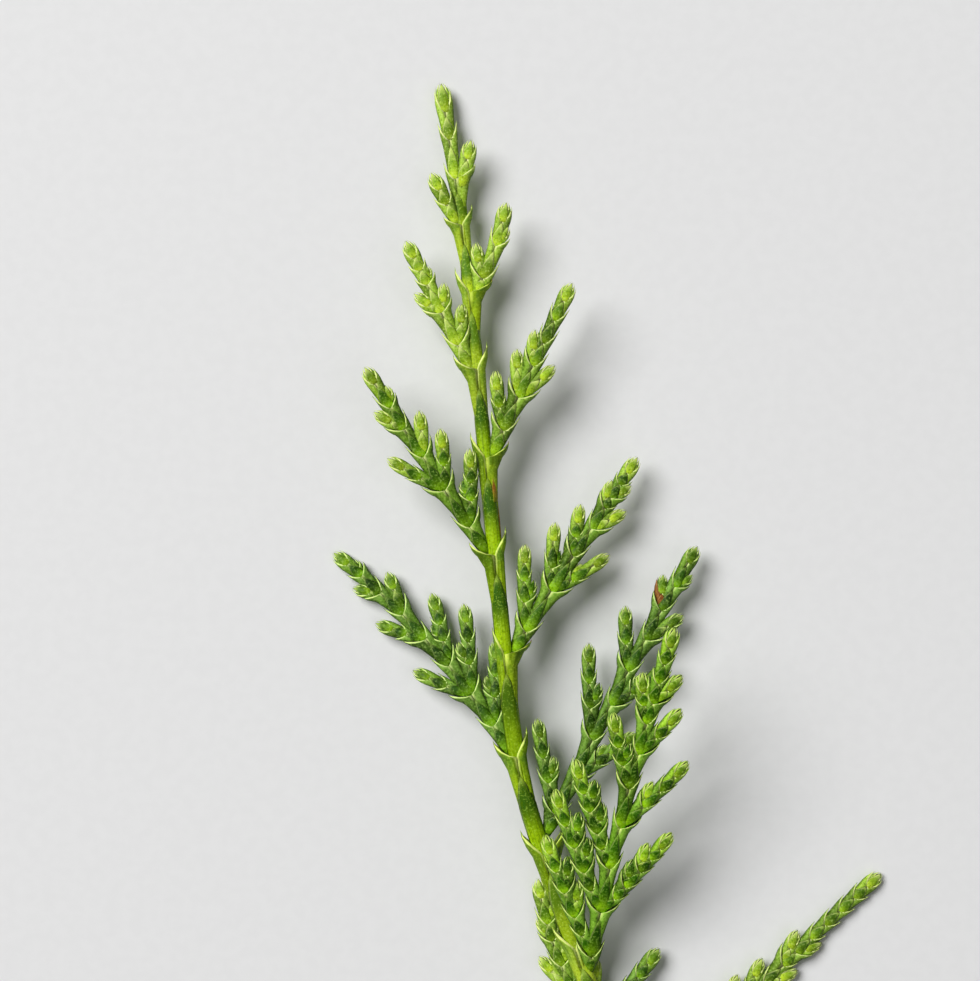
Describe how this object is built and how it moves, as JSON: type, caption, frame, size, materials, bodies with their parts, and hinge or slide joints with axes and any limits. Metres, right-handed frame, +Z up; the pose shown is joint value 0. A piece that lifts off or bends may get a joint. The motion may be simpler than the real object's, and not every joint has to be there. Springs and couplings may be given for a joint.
{
  "type": "leyland cypress shoot",
  "caption": "Cut leading shoot of a leyland cypress, lying down: a slim green stem with flat, feathery sprays of overlapping scale leaves on both sides of it.",
  "frame": {"origin": "middle of the shoot's footprint, on the surface it lies on", "axes": "+Y from the cut end up the stem to its tip, +X to the right of the stem seen from above, +Z up from the surface it lies on"},
  "size_m": [0.0466, 0.093, 0.0142],
  "materials": {
    "stem": "smooth yellow-green young stem with a soft waxy gloss",
    "foliage": "waxy mid-green scale leaves with pale margins and yellow-green tips"
  },
  "bodies": {
    "root": {"stem": "stem", "spray_right_1": "foliage", "spray_left_1": "foliage", "spray_right_2": "foliage", "spray_left_2": "foliage", "spray_right_3": "foliage", "spray_left_3": "foliage", "spray_right_4": "foliage", "spray_left_4": "foliage", "spray_right_5": "foliage", "spray_front": "foliage", "spray_left_5": "foliage", "spray_right_6": "foliage", "spray_right_7": "foliage"}
  },
  "joints": []
}
